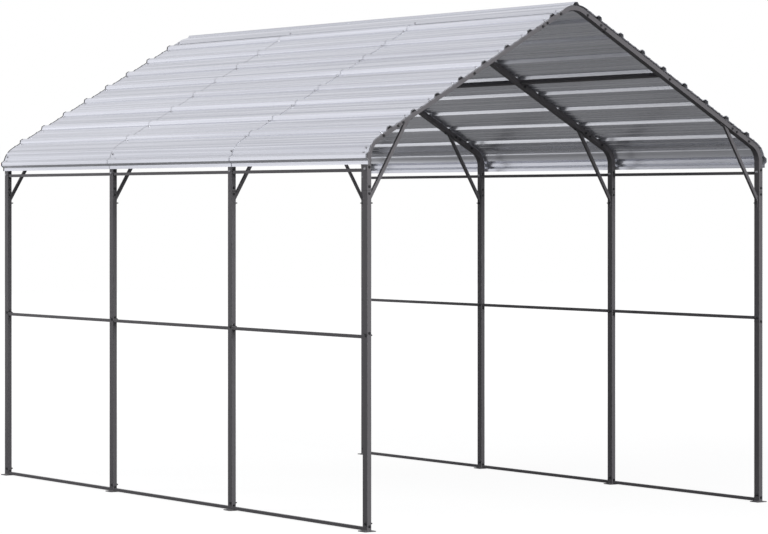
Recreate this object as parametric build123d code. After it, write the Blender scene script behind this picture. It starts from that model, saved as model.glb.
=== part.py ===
from build123d import *
import os
from math import acos, asin, cos, radians, sin, tan

# Metal carport kit: four bent-tube frames in a row, small square rails between
# them, and ribbed roof sheets that follow the frames round the curved eaves.
# Millimetres. X runs across the carport, Y from front to back, Z up.
# The origin is on the ground, in the middle of the footprint.

# Layout
FRAMES = 4
BAY = 1500.0                # frame centre to frame centre
POST_SPACING = 3080.0       # left post centre to right post centre
EAVE_Z = 2277.0             # where the centre lines of post and rafter would cross
PITCH_DEG = 30.0            # roof slope

# Tubes
POST = 30.0                 # frame tube, outside, in the frame's own plane
POST_DEPTH = 50.0           # frame tube, outside, along the carport
POST_WALL = 1.4
POST_CORNER = 2.8
RAIL = 20.0                 # rail, purlin and brace tube, outside
RAIL_WALL = 1.1
RAIL_CORNER = 1.6

# Frame joints
POST_SPLICE_Z = 1166.0      # lower post to upper post
ELBOW_RADIUS = 125.0        # centre line of the bend
ELBOW_LEG = 267.0           # from the eave point down to the upper post
ELBOW_ARM = 256.0           # from the eave point up the slope to the rafter
PEAK_RADIUS = 155.0         # centre line of the bend
PEAK_ARM = 273.0            # from the apex down the slope to the rafter

# Feet
PLATE = 80.0
PLATE_CORNER = 6.0
PLATE_THICK = 5.0
ANCHOR_HOLE = 11.0
ANCHOR_SPACING = 58.0

# Rails
LEFT_MID_RAIL_Z = 1147.0
RIGHT_MID_RAIL_Z = 1193.0
EAVE_RAIL_DROP = 147.0      # from the eave point down to the rail
PURLIN_ALONG = 850.0        # from the apex down the slope

# Braces
KNEE_DROP = 314.0           # from the eave point down to the knee brace's foot
KNEE_ARM = 321.0            # from the eave point up the slope to its head
TAB_THICK = 2.5
TAB_LENGTH = 34.0           # what a bolted tab shows beyond its tube

# Roof sheets
ROOF_OVERHANG = 42.5        # from an end frame's middle to the sheets' end
SHEET_THICK = 1.2
SEAT_GAP = 0.3              # between a sheet and what it lies on
LAP = 46.0                  # how far one sheet lies over the next
RIB_PITCH = 201.5
RIB_HEIGHT = 17.0
RIB_BASE = 50.0
RIB_TOP = 22.0
SMALL_RIBS = 2              # between two ribs
SMALL_RIB_HEIGHT = 2.4
SMALL_RIB_BASE = 20.0
SMALL_RIB_TOP = 8.0
CAP_WIDTH = 300.0           # ridge cap, edge to edge over the bend
CAP_LAP = 54.0              # how far the cap lies over a sheet's upper edge
EAVE_RIB_DROP = 65.0        # from the eave point down to the rib on the upright part
EAVE_RIB_BASE = 54.0
SKIRT_DROP = 113.0          # from the eave point down to the sheet's lower edge

SLOPE = radians(PITCH_DEG)
BEND = radians(90 - PITCH_DEG)
HALF = POST_SPACING / 2
APEX_Z = EAVE_Z + HALF * tan(SLOPE)
SLOPE_LENGTH = HALF / cos(SLOPE)
ELBOW_SETBACK = ELBOW_RADIUS * tan(BEND / 2)
ELBOW_SPLICE_Z = EAVE_Z - ELBOW_LEG
RAFTER_END = SLOPE_LENGTH - ELBOW_ARM
EAVE_RAIL_Z = EAVE_Z - EAVE_RAIL_DROP
FRAME_Y = [(i - (FRAMES - 1) / 2) * BAY for i in range(FRAMES)]
SIDES = {"left": -1, "right": 1}


def on_slope(side, along, lift=0.0):
    """The point at a distance down the slope from the apex, lifted square to the roof."""
    x = along * cos(SLOPE) + lift * sin(SLOPE)
    z = APEX_Z - along * sin(SLOPE) + lift * cos(SLOPE)
    return side * x, z


def down_slope(side):
    return Vector(side * cos(SLOPE), 0, -sin(SLOPE))


def tube_section(width, depth, wall, corner):
    outline = RectangleRounded(width, depth, corner)
    return outline - RectangleRounded(width - 2 * wall, depth - 2 * wall, corner - wall)


POST_SECTION = tube_section(POST_DEPTH, POST, POST_WALL, POST_CORNER)
RAIL_SECTION = tube_section(RAIL, RAIL, RAIL_WALL, RAIL_CORNER)


def straight_tube(section, start, end, flat):
    """A tube from start to end, with its section's width along the direction flat."""
    run = Vector(*end) - Vector(*start)
    return extrude(Plane(origin=start, x_dir=flat, z_dir=run) * section, run.length)


def bent_tube(start, corner, end, radius):
    """The frame tube along straight, arc and straight, all in one frame's plane."""
    path = FilletPolyline(start, corner, end, radius=radius)
    heading = Vector(*corner) - Vector(*start)
    return sweep(Plane(origin=start, x_dir=(0, 1, 0), z_dir=heading) * POST_SECTION, path=path)


def lower_post(side, y):
    """Post tube with the foot plate that is welded under it."""
    holes = GridLocations(ANCHOR_SPACING, ANCHOR_SPACING, 2, 2) * Circle(ANCHOR_HOLE / 2)
    plate = extrude(RectangleRounded(PLATE, PLATE, PLATE_CORNER) - holes, PLATE_THICK)
    tube = straight_tube(POST_SECTION, (0, 0, PLATE_THICK), (0, 0, POST_SPLICE_Z), (0, 1, 0))
    return Pos(side * HALF, y, 0) * (plate + tube)


def upper_post(side, y):
    x = side * HALF
    return straight_tube(POST_SECTION, (x, y, POST_SPLICE_Z), (x, y, ELBOW_SPLICE_Z), (0, 1, 0))


def eave_elbow(side, y):
    x, z = on_slope(side, RAFTER_END)
    return bent_tube((side * HALF, y, ELBOW_SPLICE_Z), (side * HALF, y, EAVE_Z), (x, y, z), ELBOW_RADIUS)


def rafter(side, y):
    x0, z0 = on_slope(side, PEAK_ARM)
    x1, z1 = on_slope(side, RAFTER_END)
    return straight_tube(POST_SECTION, (x0, y, z0), (x1, y, z1), (0, 1, 0))


def peak_bend(y):
    x, z = on_slope(1, PEAK_ARM)
    return bent_tube((-x, y, z), (0, y, APEX_Z), (x, y, z), PEAK_RADIUS)


def brace_tube(foot, head, flat, foot_face, head_face):
    """The small tube between two faces: each is a point and the way out of the face."""
    run = (head - foot).normalized()
    spare = run * 2 * RAIL
    tube = straight_tube(RAIL_SECTION, tuple(foot - spare), tuple(head + spare), flat)
    for point, outward in (foot_face, head_face):
        tube = tube.split(Plane(origin=point, z_dir=outward), keep=Keep.TOP)
    return tube


def knee_brace(side, y):
    """Small tube from the post's inner face to the rafter's underside, with a tab at each end."""
    head_x, head_z = on_slope(side, SLOPE_LENGTH - KNEE_ARM, -POST / 2)
    foot = Vector(side * (HALF - POST / 2), y, EAVE_Z - KNEE_DROP)
    head = Vector(head_x, y, head_z)
    inward = Vector(-side, 0, 0)
    under = Vector(-side * sin(SLOPE), 0, -cos(SLOPE))
    tube = brace_tube(foot, head, (0, 1, 0), (foot + inward * TAB_THICK, inward),
                      (head + under * TAB_THICK, under))
    foot_cut = RAIL * (head - foot).length / abs(head.X - foot.X)
    foot_tab = Box(TAB_THICK, RAIL, foot_cut + TAB_LENGTH)
    foot_middle = foot + inward * TAB_THICK / 2 - Vector(0, 0, TAB_LENGTH / 2)
    head_cut = RAIL / abs((head - foot).normalized().dot(under))
    head_tab = Box(RAIL, head_cut + TAB_LENGTH, TAB_THICK)
    head_middle = head + under * TAB_THICK / 2 - down_slope(side) * TAB_LENGTH / 2
    return (tube + Pos(*foot_middle) * foot_tab
            + Plane(origin=head_middle, x_dir=(0, 1, 0), z_dir=under) * head_tab)


def bay_tubes(x, z, flat):
    """One small tube in each bay, from frame to frame."""
    return [straight_tube(RAIL_SECTION, (x, near + POST_DEPTH / 2, z), (x, far - POST_DEPTH / 2, z), flat)
            for near, far in zip(FRAME_Y, FRAME_Y[1:])]


def purlin(side):
    """Lies between the rafters, level with their tops."""
    x, z = on_slope(side, PURLIN_ALONG, (POST - RAIL) / 2)
    return bay_tubes(x, z, tuple(down_slope(side)))


def rib(middle, base, top, height):
    """A rib as four places along the sheet, each with its height above the pan."""
    return [(middle - base / 2, 0), (middle - top / 2, height),
            (middle + top / 2, height), (middle + base / 2, 0)]


def small_rib(middle):
    return rib(middle, SMALL_RIB_BASE, SMALL_RIB_TOP, SMALL_RIB_HEIGHT)


def slope_ribs():
    """All ribs on the straight slope, from the sheet's upper edge to the eave's bend."""
    bend_start = SLOPE_LENGTH - ELBOW_SETBACK
    last_rib = int((bend_start - RIB_BASE / 2) / RIB_PITCH)
    step = RIB_PITCH / (SMALL_RIBS + 1)
    points = [(CAP_WIDTH / 2 - CAP_LAP, 0)]
    for k in range(1, last_rib + 1):
        points += rib(k * RIB_PITCH, RIB_BASE, RIB_TOP, RIB_HEIGHT)
        for j in range(1, SMALL_RIBS + 1):
            middle = k * RIB_PITCH + j * step
            if middle + SMALL_RIB_BASE / 2 < bend_start:
                points += small_rib(middle)
    return points


def eave_line(side, lift):
    """The sheet's line from its upper edge to its skirt, lifted off the frame's outer face."""
    shell = POST / 2 + lift
    radius = ELBOW_RADIUS + shell
    centre_x, centre_z = HALF - ELBOW_RADIUS, EAVE_Z - ELBOW_SETBACK
    eave_rib_z = EAVE_Z - EAVE_RIB_DROP

    def at_angle(angle, height=0.0):
        reach = radius + height
        return side * (centre_x + reach * cos(angle)), centre_z + reach * sin(angle)

    def arc(first, last):
        return [at_angle(first), at_angle((first + last) / 2), at_angle(last)]

    last_angle = asin((eave_rib_z + EAVE_RIB_BASE / 2 - centre_z) / radius)
    middle_angle = (BEND + last_angle) / 2
    crease = [(middle_angle - (place / radius), height) for place, height in small_rib(0)]
    face, crest = side * (HALF + shell), side * (HALF + shell + RIB_HEIGHT)
    return [
        [on_slope(side, along, shell + height) for along, height in slope_ribs()] + [at_angle(BEND)],
        arc(BEND, crease[0][0]),
        [at_angle(angle, height) for angle, height in crease],
        arc(crease[-1][0], last_angle),
        [at_angle(last_angle), (crest, eave_rib_z + RIB_TOP / 2), (crest, eave_rib_z - RIB_TOP / 2),
         (face, eave_rib_z - EAVE_RIB_BASE / 2), (face, EAVE_Z - SKIRT_DROP)],
    ]


def ridge_line(lift):
    """The ridge cap's line from edge to edge, over the bend of the peak piece."""
    shell = POST / 2 + lift
    radius = PEAK_RADIUS + shell
    centre_z = APEX_Z - PEAK_RADIUS / cos(SLOPE)
    first, last = acos(RIB_BASE / 2 / radius), BEND
    right = [(radius * cos(angle), centre_z + radius * sin(angle))
             for angle in (first, (first + last) / 2, last)]
    left = [(-x, z) for x, z in reversed(right)]
    crest_z = centre_z + radius + RIB_HEIGHT
    crest = [left[-1], (-RIB_TOP / 2, crest_z), (RIB_TOP / 2, crest_z), right[0]]
    edge = CAP_WIDTH / 2
    return [[on_slope(-1, edge, shell), left[0]], left, crest, right, [right[-1], on_slope(1, edge, shell)]]


def section_edges(pieces, y):
    """A line's pieces as edges at one Y: three points make an arc, other counts a polyline."""
    edges = []
    for points in pieces:
        places = [(x, y, z) for x, z in points]
        edges += (ThreePointArc(*places) if len(places) == 3 else Polyline(*places)).edges()
    return edges


def folded_sheet(line, lift, near, far):
    """A sheet of even thickness, drawn as its end section and drawn out along the carport."""
    under, over = line(lift), line(lift + SHEET_THICK)
    edges = section_edges(under, near) + section_edges(over, near)
    for low, high in ((under[0][0], over[0][0]), (under[-1][-1], over[-1][-1])):
        edges.append(Line((low[0], near, low[1]), (high[0], near, high[1])))
    return extrude(Face(Wire(edges)), far - near, dir=(0, 1, 0))


def write(name, *solids):
    shape = solids[0] if len(solids) == 1 else Compound(children=solids)
    export_step(shape, f"parts/{name}.step")


os.makedirs("parts", exist_ok=True)

for name, side in SIDES.items():
    for i, y in enumerate(FRAME_Y, 1):
        write(f"{name}_post_{i}", lower_post(side, y))
    write(f"{name}_upper_posts", *[upper_post(side, y) for y in FRAME_Y])
    mid_rail_z = LEFT_MID_RAIL_Z if name == "left" else RIGHT_MID_RAIL_Z
    write(f"{name}_bottom_rail", *bay_tubes(side * HALF, PLATE_THICK + RAIL / 2, (1, 0, 0)))
    write(f"{name}_mid_rail", *bay_tubes(side * HALF, mid_rail_z, (1, 0, 0)))
    write(f"{name}_eave_rail", *bay_tubes(side * HALF, EAVE_RAIL_Z, (1, 0, 0)))
    write(f"{name}_purlin", *purlin(side))

for i, y in enumerate(FRAME_Y, 1):
    write(f"eave_elbows_{i}", *[eave_elbow(side, y) for side in SIDES.values()])
    write(f"rafters_{i}", *[rafter(side, y) for side in SIDES.values()])
    write(f"peak_bend_{i}", peak_bend(y))
    write(f"knee_braces_{i}", *[knee_brace(side, y) for side in SIDES.values()])

# The front and rear sheets lie on the frames. The middle ones lap over both,
# and the lengths of ridge cap meet end to end on top.
LAYER = SHEET_THICK + SEAT_GAP
BAY_SHEETS = {
    "front": (FRAME_Y[0] - ROOF_OVERHANG, FRAME_Y[1], 0),
    "middle": (FRAME_Y[1], FRAME_Y[-2], 1),
    "rear": (FRAME_Y[-2], FRAME_Y[-1] + ROOF_OVERHANG, 0),
}
for place, (near, far, layer) in BAY_SHEETS.items():
    near_lap = LAP / 2 if near in FRAME_Y else 0
    far_lap = LAP / 2 if far in FRAME_Y else 0
    lift = SEAT_GAP + layer * LAYER
    for name, side in SIDES.items():
        sheet = folded_sheet(lambda h, s=side: eave_line(s, h), lift, near - near_lap, far + far_lap)
        write(f"{name}_roof_{place}", sheet)
    cap_near = near + SEAT_GAP / 2 if near_lap else near
    cap_far = far - SEAT_GAP / 2 if far_lap else far
    write(f"ridge_cap_{place}", folded_sheet(ridge_line, SEAT_GAP + 2 * LAYER, cap_near, cap_far))
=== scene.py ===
import math
import random

import bmesh
import bpy
from mathutils import Matrix, Vector


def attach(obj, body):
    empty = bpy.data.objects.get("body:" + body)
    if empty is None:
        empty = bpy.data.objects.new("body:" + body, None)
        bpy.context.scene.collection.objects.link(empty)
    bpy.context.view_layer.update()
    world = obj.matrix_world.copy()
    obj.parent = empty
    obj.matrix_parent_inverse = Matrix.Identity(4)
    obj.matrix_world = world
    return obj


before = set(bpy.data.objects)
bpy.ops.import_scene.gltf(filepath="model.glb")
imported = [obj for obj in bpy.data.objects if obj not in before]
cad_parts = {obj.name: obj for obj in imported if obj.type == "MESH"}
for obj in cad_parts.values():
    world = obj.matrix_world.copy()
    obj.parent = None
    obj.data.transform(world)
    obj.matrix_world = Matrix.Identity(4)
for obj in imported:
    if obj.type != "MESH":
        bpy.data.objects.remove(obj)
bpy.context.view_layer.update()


# Frame tubes: posts, eave elbows, rafters and peak bends are 50 by 30 mm steel tube,
# powder coated satin charcoal before they are put together. The coat has a faint
# orange peel and a little dust on its upward faces.
def number_node(tree, kind, operation, *inputs):
    """A math node with its inputs linked, or set where they are plain numbers."""
    node = tree.nodes.new(kind)
    node.operation = operation
    for socket, given in zip(node.inputs, inputs):
        if isinstance(given, (int, float)):
            socket.default_value = given
        else:
            tree.links.new(given, socket)
    return node


def ramp_node(tree, value, low, high, at_low, at_high, shape="LINEAR"):
    """Runs from one number to another while the value goes from low to high."""
    node = tree.nodes.new("ShaderNodeMapRange")
    node.interpolation_type = shape
    tree.links.new(value, node.inputs["Value"])
    node.inputs["From Min"].default_value = low
    node.inputs["From Max"].default_value = high
    node.inputs["To Min"].default_value = at_low
    node.inputs["To Max"].default_value = at_high
    return node.outputs["Result"]


def mix_colours(tree, factor, at_none, at_full):
    mix = tree.nodes.new("ShaderNodeMix")
    mix.data_type = "RGBA"
    tree.links.new(factor, mix.inputs["Factor"])
    tree.links.new(at_none, mix.inputs["A"])
    tree.links.new(at_full, mix.inputs["B"])
    return mix.outputs["Result"]


def stretched(tree, place, scale):
    mapping = tree.nodes.new("ShaderNodeMapping")
    mapping.inputs["Scale"].default_value = scale
    tree.links.new(place, mapping.inputs["Vector"])
    return mapping.outputs["Vector"]


def finish_outputs(group):
    """What every finish here gives: a colour, a roughness and a height for bumps."""
    for name, kind in (("Colour", "NodeSocketColor"), ("Roughness", "NodeSocketFloat"),
                       ("Height", "NodeSocketFloat")):
        group.interface.new_socket(name, in_out="OUTPUT", socket_type=kind)
    return group.nodes.new("NodeGroupOutput")


def noise_mask(tree, place, scale, detail):
    noise = tree.nodes.new("ShaderNodeTexNoise")
    noise.inputs["Scale"].default_value = scale
    noise.inputs["Detail"].default_value = detail
    tree.links.new(place, noise.inputs["Vector"])
    return noise.outputs["Fac"]


PATCH_SCALE = 7.0
PEEL_SCALE = 420.0
ROUGH_SPREAD = (-0.05, 0.08)
DUST = (0.25, 0.245, 0.235, 1)
DUST_AMOUNT = 0.2


def make_coat_group():
    """Colour, roughness and height of a sprayed coat, with dust where it faces up."""
    group = bpy.data.node_groups.new("sprayed_coat", "ShaderNodeTree")
    for name, kind in (("Paint", "NodeSocketColor"), ("Dust", "NodeSocketColor"),
                       ("Dust Amount", "NodeSocketFloat"), ("Roughness", "NodeSocketFloat")):
        group.interface.new_socket(name, in_out="INPUT", socket_type=kind)
    out = finish_outputs(group)
    given = group.nodes.new("NodeGroupInput").outputs
    place = group.nodes.new("ShaderNodeTexCoord").outputs["Object"]
    patches = noise_mask(group, place, PATCH_SCALE, 4.0)
    peel = noise_mask(group, place, PEEL_SCALE, 1.0)
    split = group.nodes.new("ShaderNodeSeparateXYZ")
    group.links.new(group.nodes.new("ShaderNodeNewGeometry").outputs["Normal"], split.inputs[0])
    up = number_node(group, "ShaderNodeMath", "MULTIPLY", split.outputs["Z"], patches)
    up.use_clamp = True
    dusty = number_node(group, "ShaderNodeMath", "MULTIPLY", up.outputs[0], given["Dust Amount"])
    colour = mix_colours(group, dusty.outputs[0], given["Paint"], given["Dust"])
    wear = ramp_node(group, patches, 0.0, 1.0, *ROUGH_SPREAD)
    rough = number_node(group, "ShaderNodeMath", "ADD", given["Roughness"], wear)
    group.links.new(colour, out.inputs["Colour"])
    group.links.new(rough.outputs[0], out.inputs["Roughness"])
    group.links.new(peel, out.inputs["Height"])
    return group


sprayed_coat = make_coat_group()


def bump_up(tree, height, shader, distance):
    """A height in metres shown on a shader's surface."""
    bumped = tree.nodes.new("ShaderNodeBump")
    bumped.inputs["Distance"].default_value = distance
    bumped.inputs["Strength"].default_value = 0.5
    tree.links.new(height, bumped.inputs["Height"])
    tree.links.new(bumped.outputs["Normal"], shader.inputs["Normal"])


def coated(name, paint, rough, metal=0.0, bump=0.0002):
    material = bpy.data.materials.new(name)
    material.use_nodes = True
    nodes, links = material.node_tree.nodes, material.node_tree.links
    shader = nodes["Principled BSDF"]
    shader.inputs["Metallic"].default_value = metal
    shader.inputs["Specular IOR Level"].default_value = 0.15
    coat = nodes.new("ShaderNodeGroup")
    coat.node_tree = sprayed_coat
    coat.inputs["Paint"].default_value = (*paint, 1)
    coat.inputs["Dust"].default_value = DUST
    coat.inputs["Dust Amount"].default_value = DUST_AMOUNT
    coat.inputs["Roughness"].default_value = rough
    links.new(coat.outputs["Colour"], shader.inputs["Base Color"])
    links.new(coat.outputs["Roughness"], shader.inputs["Roughness"])
    bump_up(material.node_tree, coat.outputs["Height"], shader, bump)
    return material


charcoal_coat = coated("charcoal_powder_coat", (0.098, 0.094, 0.100), 0.42)


def dress(node, material):
    """A CAD node keeps its mesh and takes this finish in its slot."""
    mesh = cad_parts[node].data
    mesh.materials.clear()
    mesh.materials.append(material)


SIDES = {"left": -1, "right": 1}
FRAMES = range(1, 5)
for side in SIDES:
    for i in FRAMES:
        dress(f"{side}_post_{i}", charcoal_coat)
    dress(f"{side}_upper_posts", charcoal_coat)
for i in FRAMES:
    dress(f"eave_elbows_{i}", charcoal_coat)
    dress(f"rafters_{i}", charcoal_coat)
    dress(f"peak_bend_{i}", charcoal_coat)


# Joint lines and foot welds: the frame tubes butt end to end over a sleeve, which leaves a
# thin dark line round each joint, and each post is welded to its foot plate all round.
TUBE = 0.030
TUBE_DEPTH = 0.050
FRAME_Y = (-2.25, -0.75, 0.75, 2.25)
HALF = 1.540
EAVE_Z = 2.277
SLOPE = math.radians(30)
APEX_Z = EAVE_Z + HALF * math.tan(SLOPE)
TUBE_CORNER = 0.0028
PLATE_THICK = 0.005
WELD = 0.004
SUNK = 0.0002
TUBE_JOINTS = (("post", 1.166), ("post", 2.010), ("slope", 1.5222), ("slope", 0.273))
JOINT_LINE = ((-0.0007, -SUNK), (-0.0005, 0.0002), (0.0005, 0.0002), (0.0007, -SUNK))
WELD_BEAD = ((WELD, -SUNK), (WELD * 0.9, 0.0007), (WELD * 0.45, WELD * 0.6), (0, WELD),
             (-SUNK, -SUNK))


def on_slope(sign, along, lift=0.0):
    """The point at a distance down the slope from the apex, lifted square to the roof."""
    x = along * math.cos(SLOPE) + lift * math.sin(SLOPE)
    return Vector((sign * x, 0, APEX_Z - along * math.sin(SLOPE) + lift * math.cos(SLOPE)))


def down_slope(sign):
    """The way down one side of the roof."""
    return Vector((sign * math.cos(SLOPE), 0, -math.sin(SLOPE)))


def tube_ring(middle, run, proud):
    """Points round the frame tube, square to its run, standing proud of its faces."""
    across = Vector(run).cross(Vector((0, 1, 0)))
    points = []
    for x_sign, y_sign, start in ((1, 1, 0), (-1, 1, 90), (-1, -1, 180), (1, -1, 270)):
        for turn in (0, 45, 90):
            angle = math.radians(start + turn)
            x = x_sign * (TUBE / 2 - TUBE_CORNER) + (TUBE_CORNER + proud) * math.cos(angle)
            y = y_sign * (TUBE_DEPTH / 2 - TUBE_CORNER) + (TUBE_CORNER + proud) * math.sin(angle)
            points.append(Vector(middle) + across * x + Vector((0, y, 0)))
    return points


def loft(bm, rings, closed=False):
    """Skins rings of equal count, one after the other, and back to the first if closed."""
    loops = [[bm.verts.new(point) for point in ring] for ring in rings]
    pairs = list(zip(loops, loops[1:]))
    if closed:
        pairs.append((loops[-1], loops[0]))
    for a, b in pairs:
        for k in range(len(a)):
            n = (k + 1) % len(a)
            bm.faces.new((a[k], a[n], b[n], b[k]))


def finished(name, bm, material):
    """The bmesh as an object that rides on the frame and takes a slot's finish."""
    bmesh.ops.recalc_face_normals(bm, faces=bm.faces)
    mesh = bpy.data.meshes.new(name)
    bm.to_mesh(mesh)
    bm.free()
    mesh.materials.append(material)
    piece = bpy.data.objects.new(name, mesh)
    bpy.context.scene.collection.objects.link(piece)
    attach(piece, "root")
    return piece


joint_shadow = coated("joint_line_dark", (0.018, 0.018, 0.018), 0.6)
weld_bead = coated("painted_weld_bead", (0.085, 0.083, 0.086), 0.5, bump=0.0006)
bm = bmesh.new()
bead = bmesh.new()
for y in FRAME_Y:
    for sign in SIDES.values():
        for kind, place in TUBE_JOINTS:
            middle = Vector((sign * HALF, y, place))
            run = Vector((0, 0, 1))
            if kind == "slope":
                middle = on_slope(sign, place) + Vector((0, y, 0))
                run = down_slope(sign)
            loft(bm, [tube_ring(middle + run * shift, run, proud) for shift, proud in JOINT_LINE],
                 closed=True)
        foot = Vector((sign * HALF, y, PLATE_THICK))
        up = Vector((0, 0, 1))
        loft(bead, [tube_ring(foot + up * rise, up, proud) for rise, proud in WELD_BEAD], closed=True)
finished("tube_joint_lines", bm, joint_shadow)
finished("foot_welds", bead, weld_bead)


# Side rails, purlins and braces: 20 mm square tube in the same coat, cut between the
# frames. The braces have flat steel tabs welded on their ends for the bolts.
for side in SIDES:
    for rail in ("bottom_rail", "mid_rail", "eave_rail", "purlin"):
        dress(f"{side}_{rail}", charcoal_coat)
for i in FRAMES:
    dress(f"knee_braces_{i}", charcoal_coat)


# Roof sheets and ridge caps: thin galvanised steel, rolled with trapezoid ribs that run
# along the carport, and bent over the eaves. The zinc is dull, streaked along the rolling
# and faintly rippled, and its gloss has a fine crystal pattern. The ripples' low lines are
# darker in the colour: painted shade.
STREAKS = (9.0, 0.35, 9.0)
ROLLED_LINES = (75.0, 0.25, 75.0)
CRYSTAL_SCALE = 90.0
RIPPLE_HEIGHT = 0.0010


def make_zinc_group():
    """Colour, roughness and height of dull galvanising streaked along the sheet; ripple lows get
    painted shade.
    """
    group = bpy.data.node_groups.new("dull_zinc", "ShaderNodeTree")
    for name in ("Light Zinc", "Dark Zinc"):
        group.interface.new_socket(name, in_out="INPUT", socket_type="NodeSocketColor")
    out = finish_outputs(group)
    given = group.nodes.new("NodeGroupInput").outputs
    place = group.nodes.new("ShaderNodeTexCoord").outputs["Object"]
    streaks = noise_mask(group, stretched(group, place, STREAKS), 1.0, 5.0)
    ripples = noise_mask(group, stretched(group, place, ROLLED_LINES), 1.0, 3.0)
    crystal = group.nodes.new("ShaderNodeTexVoronoi")
    crystal.inputs["Scale"].default_value = CRYSTAL_SCALE
    group.links.new(place, crystal.inputs["Vector"])
    pale = ramp_node(group, streaks, 0.3, 0.7, 0.0, 1.0)
    colour = mix_colours(group, pale, given["Dark Zinc"], given["Light Zinc"])
    # Painted shade: the colour is darkened where the ripples are low.
    lines = ramp_node(group, ripples, 0.3, 0.7, 0.73, 1.0)
    shaded_zinc = group.nodes.new("ShaderNodeVectorMath")
    shaded_zinc.operation = "SCALE"
    group.links.new(colour, shaded_zinc.inputs[0])
    group.links.new(lines, shaded_zinc.inputs["Scale"])
    rough = ramp_node(group, crystal.outputs["Distance"], 0.0, 1.0, 0.22, 0.27)
    group.links.new(shaded_zinc.outputs["Vector"], out.inputs["Colour"])
    group.links.new(rough, out.inputs["Roughness"])
    group.links.new(ripples, out.inputs["Height"])
    return group


dull_zinc = make_zinc_group()


def zinc_finish(name, light, dark, metal):
    material = bpy.data.materials.new(name)
    material.use_nodes = True
    nodes, links = material.node_tree.nodes, material.node_tree.links
    shader = nodes["Principled BSDF"]
    shader.inputs["Metallic"].default_value = metal
    zinc = nodes.new("ShaderNodeGroup")
    zinc.node_tree = dull_zinc
    zinc.inputs["Light Zinc"].default_value = (*light, 1)
    zinc.inputs["Dark Zinc"].default_value = (*dark, 1)
    links.new(zinc.outputs["Colour"], shader.inputs["Base Color"])
    links.new(zinc.outputs["Roughness"], shader.inputs["Roughness"])
    bump_up(material.node_tree, zinc.outputs["Height"], shader, RIPPLE_HEIGHT)
    return material


roof_zinc = zinc_finish("galvanised_roof_steel", (0.91, 0.925, 0.985), (0.83, 0.845, 0.905), 0.72)
for place in ("front", "middle", "rear"):
    for side in SIDES:
        dress(f"{side}_roof_{place}", roof_zinc)
    dress(f"ridge_cap_{place}", roof_zinc)


# Sheet ends: thin dark strips lie on the roof sheets' ends at both gables; the front ones are
# painted shade of the overhang's shaded underside, the rear ones a plain dark band. Grey strips
# where the middle sheets lap over the others are painted shade under the lapping edge. At the
# gables black plugs fill the ribs over the tube: painted shade inside the rib hollows.
RIB_PITCH = 0.2015
RIB_HEIGHT = 0.017
RIB_BASE = 0.050
RIB_TOP = 0.022
SMALL_HEIGHT = 0.0024
SMALL_BASE = 0.020
SMALL_TOP = 0.008
LARGE_RIBS = range(1, 9)
BEND_RADIUS = 0.125
BEND_TURN = math.pi / 2 - SLOPE
BEND_SETBACK = BEND_RADIUS * math.tan(BEND_TURN / 2)
BEND_STEPS = 8
SHEET_HEAD = 0.098
EAVE_RIB_Z = EAVE_Z - 0.065
EAVE_RIB_BASE = 0.054
SKIRT_Z = EAVE_Z - 0.113
LAYER = 0.0015
SHEET_TOP = LAYER
LAP_TOP = 2 * LAYER
ROOF_END = 2.2925


def rib_points(middle, base, top, height):
    """A rib's corners: how far down the slope, and how high over the pan."""
    return [(middle - base / 2, 0), (middle - top / 2, height), (middle + top / 2, height),
            (middle + base / 2, 0)]


def bend_centre(sign):
    """The middle of the bend over the eave."""
    return Vector((sign * (HALF - BEND_RADIUS), 0, EAVE_Z - BEND_SETBACK))


def sheet_line(sign, lift):
    """The sheet's line from under the ridge cap to its lower edge, off the tube's outer face."""
    shell = TUBE / 2 + lift
    bend = HALF / math.cos(SLOPE) - BEND_SETBACK
    places = [(SHEET_HEAD, 0)]
    for k in LARGE_RIBS:
        if k * RIB_PITCH + RIB_BASE / 2 < bend:
            places += rib_points(k * RIB_PITCH, RIB_BASE, RIB_TOP, RIB_HEIGHT)
        for j in (1, 2):
            middle = (k + j / 3) * RIB_PITCH
            if middle + SMALL_BASE / 2 < bend:
                places += rib_points(middle, SMALL_BASE, SMALL_TOP, SMALL_HEIGHT)
    line = [on_slope(sign, along, shell + height) for along, height in places]
    centre = bend_centre(sign)
    reach = BEND_RADIUS + shell
    last = math.asin((EAVE_RIB_Z + EAVE_RIB_BASE / 2 - centre.z) / reach)
    for k in range(BEND_STEPS + 1):
        angle = BEND_TURN + (last - BEND_TURN) * k / BEND_STEPS
        line.append(centre + Vector((sign * reach * math.cos(angle), 0, reach * math.sin(angle))))
    for out, z in ((RIB_HEIGHT, EAVE_RIB_Z + RIB_TOP / 2), (RIB_HEIGHT, EAVE_RIB_Z - RIB_TOP / 2),
                   (0, EAVE_RIB_Z - EAVE_RIB_BASE / 2), (0, SKIRT_Z)):
        line.append(Vector((sign * (HALF + shell + out), 0, z)))
    return line


def edge_strip(bm, sign, low, high, near, far):
    """A thin strip over the sheet's line from near to far, between two lifts."""
    under, over = sheet_line(sign, low), sheet_line(sign, high)
    rings = []
    for a, b in zip(under, over):
        rings.append([Vector((a.x, near, a.z)), Vector((b.x, near, b.z)),
                      Vector((b.x, far, b.z)), Vector((a.x, far, a.z))])
    loft(bm, rings)
    for ring in (rings[0], rings[-1]):
        bm.faces.new([bm.verts.new(point) for point in ring])


def plug_section(base, low, high):
    """A plug's corners from one foot to the other: across the rib, and out from the tube."""
    foot, crest = base / 2 - PLUG_FOOT_GAP, RIB_TOP / 2 - PLUG_CREST_GAP
    return ((-foot, low), (-crest, high), (crest, high), (foot, low))


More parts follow.
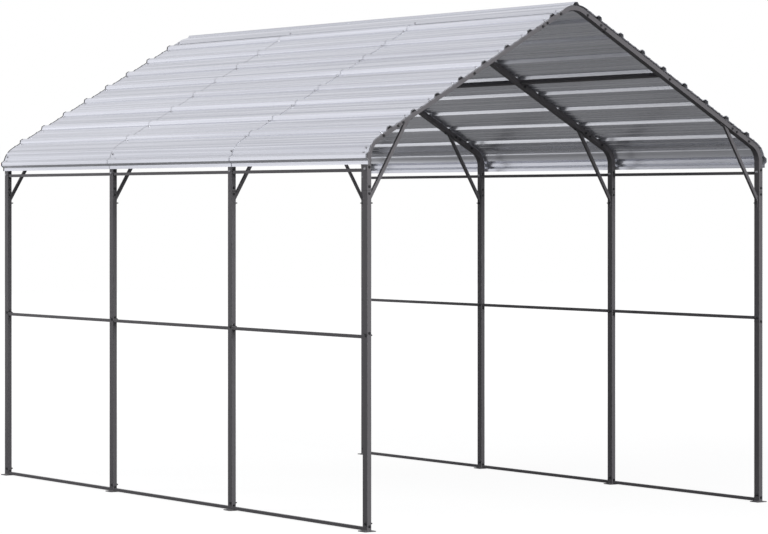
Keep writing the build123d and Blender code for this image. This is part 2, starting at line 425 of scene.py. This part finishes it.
FRONT_SHADE_STRIP = 0.006
REAR_DARK_STRIP = 0.011
END_STRIP_HEIGHT = 0.0012
LAP_END = 0.773
LAP_SHADE_WIDTH = 0.004
LAP_SHADE_HEIGHT = 0.0006
BITE = 0.0001
PLUG_ENDS = (2.252, 2.230)
PLUG_FOOT_GAP = 0.0015
PLUG_CREST_GAP = 0.0005
PLUG_LOW = 0.0004
PLUG_HIGH = RIB_HEIGHT - 0.0002
# Dark end strips: at the front they are painted shade of the overhang's shaded underside.
sheet_end_strip_coat = coated("sheet_end_dark_strip", (0.025, 0.025, 0.026), 0.55, metal=0.2)
# Grey lap strips: painted shade under the edge of the lapping sheet.
lap_shade_coat = coated("lap_seam_painted_shade", (0.20, 0.20, 0.21), 0.55, metal=0.3)
# Black rib plugs: painted shade inside the hollow rib ends.
rib_hollow_shade = coated("rib_hollow_painted_shade", (0.006, 0.006, 0.006), 0.9, bump=0.0008)
bm = bmesh.new()
laps = bmesh.new()
plugs = bmesh.new()
for sign in SIDES.values():
    for near, far in ((-ROOF_END, -ROOF_END + FRONT_SHADE_STRIP), (ROOF_END - REAR_DARK_STRIP, ROOF_END)):
        edge_strip(bm, sign, SHEET_TOP - BITE, SHEET_TOP + END_STRIP_HEIGHT, near, far)
    for near, far in ((-LAP_END, -LAP_END + LAP_SHADE_WIDTH), (LAP_END - LAP_SHADE_WIDTH, LAP_END)):
        edge_strip(laps, sign, LAP_TOP - BITE, LAP_TOP + LAP_SHADE_HEIGHT, near, far)
    for end in (-1, 1):
        near, far = (end * y for y in PLUG_ENDS)
        sections = [[on_slope(sign, k * RIB_PITCH + across, TUBE / 2 + up)
                     for across, up in plug_section(RIB_BASE, PLUG_LOW, PLUG_HIGH)]
                    for k in LARGE_RIBS]
        sections.append([Vector((sign * (HALF + TUBE / 2 + out), 0, EAVE_RIB_Z - across))
                         for across, out in plug_section(EAVE_RIB_BASE, PLUG_LOW, PLUG_HIGH)])
        for section in sections:
            rings = [[point + Vector((0, y, 0)) for point in section] for y in (near, far)]
            loft(plugs, rings)
            for ring in rings:
                plugs.faces.new([plugs.verts.new(point) for point in ring])
WELD_DISTANCE = 1e-6
for mesh in (bm, plugs):
    bmesh.ops.remove_doubles(mesh, verts=mesh.verts, dist=WELD_DISTANCE)
finished("sheet_edges", bm, sheet_end_strip_coat)
finished("lap_shade_strips", laps, lap_shade_coat)
finished("painted_shade_rib_plugs", plugs, rib_hollow_shade)


# Frame bolts: M8 hex bolts with a washer under the head go through the tubes at each
# sleeve joint, with the nut on the far face. They are blackened steel.
BOLT = 0.008
HEAD_WIDTH = 0.013
HEAD_HEIGHT = 0.0053
NUT_HEIGHT = 0.0068
WASHER = 0.017
WASHER_THICK = 0.0016
black_steel = coated("black_bolt_steel", (0.030, 0.030, 0.032), 0.38, metal=0.4)


def drum(bm, corners, width, low, high, place):
    """A prism with its axis along local Z, from low to high, with softened top edge."""
    soft = min(width * 0.06, (high - low) * 0.3)
    reach = width / 2
    if corners == 6:
        reach = width / 2 / math.cos(math.radians(30))
    rings = []
    for z, r in ((low, reach), (high - soft, reach), (high, reach - soft)):
        ring = []
        for k in range(corners):
            angle = 2 * math.pi * k / corners
            ring.append(bm.verts.new(place @ Vector((r * math.cos(angle), r * math.sin(angle), z))))
        rings.append(ring)
    for under, over in zip(rings, rings[1:]):
        for k in range(corners):
            bm.faces.new((under[k], under[(k + 1) % corners], over[(k + 1) % corners], over[k]))
    bm.faces.new(list(reversed(rings[0])))
    bm.faces.new(rings[-1])


def facing(point, way, turn=0.0):
    """Local Z along way, at point, turned round it by some angle."""
    spin = Vector((0, 0, 1)).rotation_difference(Vector(way)).to_matrix().to_4x4()
    return Matrix.Translation(point) @ spin @ Matrix.Rotation(turn, 4, "Z")


def through_bolt(bm, head, way, grip, spare, rng):
    """Head and washer seated at one face, nut and thread end at the other face."""
    outside = facing(head, way, rng.uniform(0, 1))
    inside = facing(Vector(head) - Vector(way) * grip, -Vector(way), rng.uniform(0, 1))
    drum(bm, 20, WASHER, 0, WASHER_THICK, outside)
    drum(bm, 6, HEAD_WIDTH, WASHER_THICK, WASHER_THICK + HEAD_HEIGHT, outside)
    drum(bm, 20, WASHER, 0, WASHER_THICK, inside)
    drum(bm, 6, HEAD_WIDTH, WASHER_THICK, WASHER_THICK + NUT_HEIGHT, inside)
    end = WASHER_THICK + NUT_HEIGHT
    drum(bm, 12, BOLT, end, end + spare, inside)


# A rafter bolt's place is across from the middle and up; a post bolt's is up only.
RAFTER_BOLTS = ((0.105, 3.100), (0.211, 3.040), (0.246, 3.019), (0.769, 2.718),
                (1.295, 2.414), (1.332, 2.393), (1.436, 2.334))
POST_BOLTS = (2.148, 2.033, 1.992, 1.169, 0.031)
RAIL_BOLT_Z = {"left": 1.157, "right": 1.193}
FOOT_BOLT_Z = 0.047
SIDE_BOLT_SHIFT = 0.009
RAFTER_SPARE = 0.004
POST_SPARE = 0.005
RAIL_SPARE = 0.007
rng = random.Random(7)
bm = bmesh.new()
for y in FRAME_Y:
    face = y - TUBE_DEPTH / 2
    for side, sign in SIDES.items():
        for x, z in RAFTER_BOLTS:
            through_bolt(bm, (sign * x, face, z), (0, -1, 0), TUBE_DEPTH, RAFTER_SPARE, rng)
        for z in POST_BOLTS:
            through_bolt(bm, (sign * HALF, face, z), (0, -1, 0), TUBE_DEPTH, POST_SPARE, rng)
        outer = sign * (HALF + TUBE / 2)
        for z in (RAIL_BOLT_Z[side], FOOT_BOLT_Z):
            through_bolt(bm, (outer, y - SIDE_BOLT_SHIFT, z), (sign, 0, 0), TUBE, RAIL_SPARE, rng)
finished("frame_bolts", bm, black_steel)


# Brace bolts: at its foot a brace's tab is held by a long bolt that comes out of the post,
# at its head by a short hex screw up into the rafter. Such a screw is at the peak joints too.
TAB = 0.0025
BRACE_FOOT_Z = 1.936
STUD_END = 0.021
BRACE_HEAD_ALONG = 1.420
PEAK_SCREW_ALONG = 0.300


def hex_head(bm, seat, way, rng, height=HEAD_HEIGHT):
    """A washer and a hex head on a face, with nothing behind it."""
    place = facing(seat, way, rng.uniform(0, 1))
    drum(bm, 20, WASHER, 0, WASHER_THICK, place)
    drum(bm, 6, HEAD_WIDTH, WASHER_THICK, WASHER_THICK + height, place)


bm = bmesh.new()
for y in FRAME_Y:
    for sign in SIDES.values():
        seat = Vector((sign * (HALF - TUBE / 2 - TAB), y, BRACE_FOOT_Z))
        inward = Vector((-sign, 0, 0))
        hex_head(bm, seat, inward, rng, NUT_HEIGHT)
        drum(bm, 12, BOLT, WASHER_THICK + NUT_HEIGHT, STUD_END, facing(seat, inward))
        under = Vector((-sign * math.sin(SLOPE), 0, -math.cos(SLOPE)))
        for along, drop in ((BRACE_HEAD_ALONG, TUBE / 2 + TAB), (PEAK_SCREW_ALONG, TUBE / 2)):
            hex_head(bm, on_slope(sign, along, -drop) + Vector((0, y, 0)), under, rng)
finished("brace_bolts", bm, black_steel)


# Eave rail bolts and roof screws, zinc plated. The screws are self-drilling, with a rubber
# faced washer: every frame has one by each rib, one over each bend and two in the cap.
plated = coated("zinc_plated_screws", (0.38, 0.38, 0.40), 0.35, metal=0.8, bump=0.0001)
SCREW_HEAD = 0.008
SCREW_WASHER = 0.015
SCREW_LEVELS = (0.0016, 0.0024, 0.0070)
SCREW_FLANGE = SCREW_WASHER * 0.72
CAP_TOP = 3 * LAYER
EAVE_BOLT_Z = 2.138
EAVE_BOLT_SHIFT = 0.002
EAVE_SPARE = 0.004
SCREW_BY_RIB = 0.040
CAP_SCREW_ALONG = 0.132
BEND_SCREW_ANGLE = math.radians(24)
LAP_SCREW_SHIFT = 0.006
bm = bmesh.new()
for y in FRAME_Y:
    lapped = abs(y) < LAP_END
    lift = TUBE / 2 + (LAP_TOP if lapped else SHEET_TOP)
    shift = -LAP_SCREW_SHIFT if lapped else 0.0
    for sign in SIDES.values():
        outer = Vector((sign * (HALF + TUBE / 2), y - EAVE_BOLT_SHIFT, EAVE_BOLT_Z))
        through_bolt(bm, outer, (sign, 0, 0), TUBE, EAVE_SPARE, rng)
        up = Vector((sign * math.sin(SLOPE), 0, math.cos(SLOPE)))
        seats = [(on_slope(sign, k * RIB_PITCH + SCREW_BY_RIB, lift), up) for k in LARGE_RIBS]
        out = Vector((sign * math.cos(BEND_SCREW_ANGLE), 0, math.sin(BEND_SCREW_ANGLE)))
        seats.append((bend_centre(sign) + out * (BEND_RADIUS + lift), out))
        seats.append((on_slope(sign, CAP_SCREW_ALONG, TUBE / 2 + CAP_TOP), up))
        low, middle, top = SCREW_LEVELS
        for seat, way in seats:
            place = facing(seat + Vector((0, y + shift, 0)), way, rng.uniform(0, 1))
            drum(bm, 18, SCREW_WASHER, 0, low, place)
            drum(bm, 18, SCREW_FLANGE, low, middle, place)
            drum(bm, 6, SCREW_HEAD, middle, top, place)
finished("roof_screws", bm, plated)


# Ground, backdrop and light: a pale floor that runs into a white backdrop, soft lamps from
# the front, the left and behind, and a sky that is dim low down. None of it is part of the
# carport.
FLOOR_REACH = 40
FLOOR_CORNERS = ((-1, -1), (1, -1), (1, 1), (-1, 1))
FLOOR_GREY = 0.11
FLOOR_SEEN = 0.89
FLOOR_MIRRORED = 0.14
FLOOR_FADE = (4.5, 12.0)
SKY_GLOW = (0.12, 0.62)
SKY_MIRRORED = (1.0, 0.62)
floor_mesh = bpy.data.meshes.new("floor")
corners = [(x * FLOOR_REACH, y * FLOOR_REACH, 0) for x, y in FLOOR_CORNERS]
floor_mesh.from_pydata(corners, [], [(0, 1, 2, 3)])
floor = bpy.data.objects.new("floor", floor_mesh)
bpy.context.scene.collection.objects.link(floor)


world = bpy.data.worlds.new("studio")
bpy.context.scene.world = world
world.use_nodes = True
tree = world.node_tree
path = tree.nodes.new("ShaderNodeLightPath")
way = tree.nodes.new("ShaderNodeTexCoord")
split = tree.nodes.new("ShaderNodeSeparateXYZ")
tree.links.new(way.outputs["Generated"], split.inputs[0])
soft_sky = ramp_node(tree, split.outputs["Z"], 0.0, 0.8, *SKY_GLOW, "SMOOTHSTEP")
mirrored = ramp_node(tree, split.outputs["Z"], 0.1, 0.55, *SKY_MIRRORED, "SMOOTHSTEP")
strength = tree.nodes.new("ShaderNodeMix")
strength.data_type = "FLOAT"
tree.links.new(path.outputs["Is Glossy Ray"], strength.inputs["Factor"])
tree.links.new(soft_sky, strength.inputs["A"])
tree.links.new(mirrored, strength.inputs["B"])
sky = tree.nodes["Background"]
sky.inputs["Color"].default_value = (0.96, 0.96, 1.0, 1)
tree.links.new(strength.outputs["Result"], sky.inputs["Strength"])
white = tree.nodes.new("ShaderNodeBackground")
white.inputs["Color"].default_value = (1, 1, 1, 1)
white.inputs["Strength"].default_value = 1.0
seen = number_node(tree, "ShaderNodeMath", "MAXIMUM", path.outputs["Is Camera Ray"],
                   path.outputs["Is Transmission Ray"])
backdrop = tree.nodes.new("ShaderNodeMixShader")
tree.links.new(seen.outputs[0], backdrop.inputs[0])
tree.links.new(sky.outputs[0], backdrop.inputs[1])
tree.links.new(white.outputs[0], backdrop.inputs[2])
tree.links.new(backdrop.outputs[0], tree.nodes["World Output"].inputs["Surface"])

ground = bpy.data.materials.new("pale_floor")
ground.use_nodes = True
tree = ground.node_tree
tree.nodes.remove(tree.nodes["Principled BSDF"])
path = tree.nodes.new("ShaderNodeLightPath")
place = tree.nodes.new("ShaderNodeNewGeometry")
reach = number_node(tree, "ShaderNodeVectorMath", "LENGTH", place.outputs["Position"])
far = ramp_node(tree, reach.outputs["Value"], *FLOOR_FADE, 0.0, 1.0, "SMOOTHSTEP")
eye = number_node(tree, "ShaderNodeMath", "MAXIMUM", path.outputs["Is Camera Ray"],
                  path.outputs["Is Transmission Ray"])
eye_white = number_node(tree, "ShaderNodeMath", "MULTIPLY_ADD", far, 1 - FLOOR_SEEN, FLOOR_SEEN)
seen = number_node(tree, "ShaderNodeMath", "MULTIPLY", eye.outputs[0], eye_white.outputs[0])
pale = number_node(tree, "ShaderNodeMath", "MULTIPLY_ADD", far, 1 - FLOOR_MIRRORED,
                   FLOOR_MIRRORED)
mirrored = number_node(tree, "ShaderNodeMath", "MULTIPLY", path.outputs["Is Glossy Ray"],
                       pale.outputs[0])
strength = number_node(tree, "ShaderNodeMath", "MAXIMUM", seen.outputs[0], mirrored.outputs[0])
lit = tree.nodes.new("ShaderNodeBsdfDiffuse")
lit.inputs["Color"].default_value = (FLOOR_GREY, FLOOR_GREY, FLOOR_GREY, 1)
white = tree.nodes.new("ShaderNodeEmission")
white.inputs["Color"].default_value = (1, 1, 1, 1)
tree.links.new(strength.outputs[0], white.inputs["Strength"])
both = tree.nodes.new("ShaderNodeAddShader")
tree.links.new(lit.outputs[0], both.inputs[0])
tree.links.new(white.outputs[0], both.inputs[1])
tree.links.new(both.outputs[0], tree.nodes["Material Output"].inputs["Surface"])
floor_mesh.materials.append(ground)


def soft_box(name, place, target, size, watts, mirrored=True):
    """A square lamp with a cloth front. The camera doesn't see it."""
    data = bpy.data.lights.new(name, "AREA")
    data.size = size
    data.energy = watts
    lamp = bpy.data.objects.new(name, data)
    lamp.location = place
    lamp.rotation_euler = (Vector(target) - Vector(place)).to_track_quat("-Z", "Y").to_euler()
    lamp.visible_camera = False
    lamp.visible_glossy = mirrored
    bpy.context.scene.collection.objects.link(lamp)


soft_box("front_light", (-1.0, -14.5, 5.0), (0, 0, 1.3), 4.0, 1950)
soft_box("left_light", (-9.0, 5.0, 9.0), (0, 0, 1.5), 5.0, 950, mirrored=False)
soft_box("back_light", (9.0, 10.0, 7.0), (0, 0, 1.5), 5.0, 300, mirrored=False)

camera_data = bpy.data.cameras.new("camera")
camera_data.sensor_width = 36.0
camera_data.lens = 140.735
camera_data.shift_y = -0.0781
camera_data.clip_end = 200.0
camera = bpy.data.objects.new("camera", camera_data)
camera.location = (-11.5813, -16.8127, 1.9338)
camera.rotation_euler = (math.radians(90 - 0.0693), 0, math.radians(-34.9121))
bpy.context.scene.collection.objects.link(camera)
bpy.context.scene.camera = camera
bpy.context.scene.view_settings.view_transform = "Standard"
